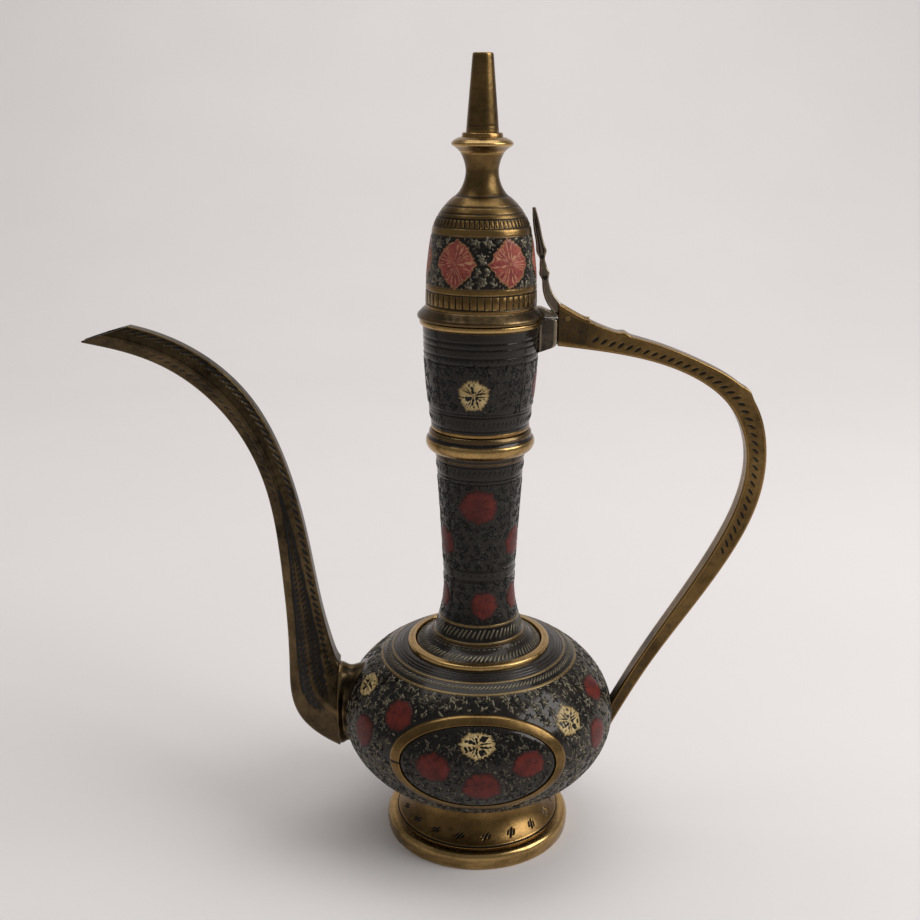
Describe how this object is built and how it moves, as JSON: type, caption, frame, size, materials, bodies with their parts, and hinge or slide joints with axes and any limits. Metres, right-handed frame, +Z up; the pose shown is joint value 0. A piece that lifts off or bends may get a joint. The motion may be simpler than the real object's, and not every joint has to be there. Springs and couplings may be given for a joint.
{
  "type": "spouted coffee ewer with hinged lid",
  "caption": "Tall-necked brass coffee ewer on a round foot, with a swan-neck spout, a bow handle and a hinged domed lid; black lacquer, enamel flowers and oval medallions.",
  "frame": {"origin": "centre of the foot's underside, on the pot's turning axis", "axes": "+Z up along the turning axis, +X towards the handle and the lid hinge, -X towards the spout, -Y towards the front medallion"},
  "size_m": [0.2449, 0.1042, 0.29],
  "materials": {
    "antique_brass": "aged cast brass, brown in the hollows and rubbed bright on the edges",
    "lacquered_brass": "engraved brass filled with black lacquer and coloured enamel",
    "polished_band": "turned brass bands, lightly polished",
    "plain_brass": "unpolished brass of inner and hinge pieces"
  },
  "bodies": {
    "pot": {"foot_band": "antique_brass", "foot_pedestal": "antique_brass", "globe_shell": "lacquered_brass", "medallion_frame_front": "antique_brass", "medallion_panel_front": "lacquered_brass", "medallion_frame_back": "antique_brass", "medallion_panel_back": "lacquered_brass", "shoulder_ring": "polished_band", "shoulder_collar": "lacquered_brass", "neck_tube": "lacquered_brass", "neck_bead": "polished_band", "cup": "lacquered_brass", "mouth_rim": "polished_band", "spout": "antique_brass", "spout_collar": "antique_brass", "handle_lug": "antique_brass", "handle": "antique_brass", "hinge_pin": "plain_brass"},
    "lid": {"lid_flange": "polished_band", "lid_sleeve": "plain_brass", "lid_dome": "lacquered_brass", "finial_collar": "antique_brass", "finial_washer": "antique_brass", "finial_spike": "antique_brass", "finial_stud": "plain_brass", "finial_nut": "plain_brass", "thumb_lever": "antique_brass"}
  },
  "joints": [
    {"name": "lid_hinge", "type": "hinge", "parent": "pot", "child": "lid", "pos_m": [0.0303, 0, 0.202], "axis": [0, 1, 0], "range_deg": [0, 95]}
  ]
}
